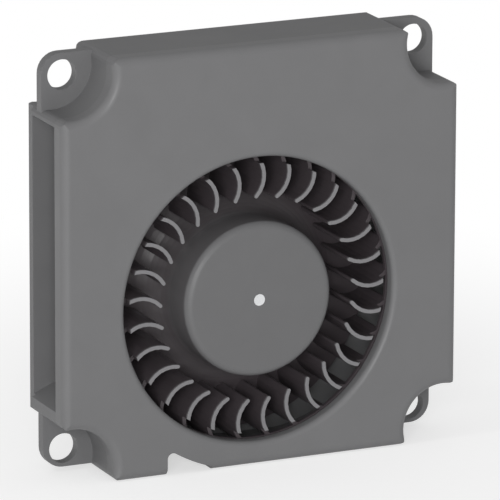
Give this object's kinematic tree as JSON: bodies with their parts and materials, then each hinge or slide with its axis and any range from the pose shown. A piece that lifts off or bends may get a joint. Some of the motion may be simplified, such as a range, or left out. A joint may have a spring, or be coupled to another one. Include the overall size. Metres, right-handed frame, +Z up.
{
  "type": "dc blower fan",
  "caption": "Slim square centrifugal blower: scroll housing, fitted cover with round inlet, bladed wheel on an outer-rotor motor, side outlet and four corner ears.",
  "frame": {"origin": "under the middle of the body, on the surface that it stands on", "axes": "+Z up; the round inlet faces -Y; the outlet opens to -X; the wheel's axis lies along Y"},
  "size_m": [0.045, 0.01, 0.045],
  "materials": {
    "housing_plastic": "dark grey moulded PBT, fine even grain",
    "cover_plastic": "dark grey moulded PBT, fine even grain, rounded edges a little glossier",
    "wheel_plastic": "dark grey moulded PBT, satin",
    "zinc_plated_steel": "deep-drawn, satin",
    "bonded_magnet": "plastic-bonded ferrite, matt",
    "shaft_steel": "ground",
    "spring_steel": "bright",
    "tube_brass": "turned",
    "bearing_steel": "ground",
    "ball_steel": "polished",
    "cage_brass": "pressed",
    "lamination_steel": "punched sheet, edges visible",
    "insulator_nylon": "natural nylon",
    "enamelled_copper": "layer-wound enamelled wire",
    "pin_brass": "tinned",
    "board_laminate": "green solder mask",
    "chip_epoxy": "moulded epoxy",
    "chip_ceramic": "fired ceramic",
    "solder": "bright fillet"
  },
  "bodies": {
    "housing_body": {"housing": "housing_plastic", "front_cover": "cover_plastic", "bearing_tube": "tube_brass", "front_bearing_outer_ring": "bearing_steel", "rear_bearing_outer_ring": "bearing_steel", "front_bearing_shields": "spring_steel", "rear_bearing_shields": "spring_steel", "preload_spring": "spring_steel", "stator_core": "lamination_steel", "front_insulator": "insulator_nylon", "rear_insulator": "insulator_nylon", "coil_1": "enamelled_copper", "coil_2": "enamelled_copper", "coil_3": "enamelled_copper", "coil_4": "enamelled_copper", "terminal_pins": "pin_brass", "circuit_board": "board_laminate", "driver_chip": "chip_epoxy", "capacitor": "chip_ceramic", "resistor": "chip_ceramic", "solder_joints": "solder"},
    "rotor": {"impeller": "wheel_plastic", "rotor_cup": "zinc_plated_steel", "ring_magnet": "bonded_magnet", "shaft": "shaft_steel", "retaining_clip": "spring_steel", "front_bearing_inner_ring": "bearing_steel", "rear_bearing_inner_ring": "bearing_steel"},
    "front_balls": {"front_bearing_balls": "ball_steel", "front_bearing_cage": "cage_brass"},
    "rear_balls": {"rear_bearing_balls": "ball_steel", "rear_bearing_cage": "cage_brass"}
  },
  "joints": [
    {"name": "rotor_spin", "type": "hinge", "parent": "housing_body", "child": "rotor", "pos_m": [-0.0003, 0, 0.0178], "axis": [0, -1, 0], "continuous": true},
    {"name": "front_balls_spin", "type": "hinge", "parent": "housing_body", "child": "front_balls", "pos_m": [-0.0003, 0, 0.0178], "axis": [0, -1, 0], "continuous": true},
    {"name": "rear_balls_spin", "type": "hinge", "parent": "housing_body", "child": "rear_balls", "pos_m": [-0.0003, 0, 0.0178], "axis": [0, -1, 0], "continuous": true}
  ],
  "couplings": [
    {"joint": "front_balls_spin", "follows": "rotor_spin", "ratio": 0.3857},
    {"joint": "rear_balls_spin", "follows": "rotor_spin", "ratio": 0.3857}
  ]
}
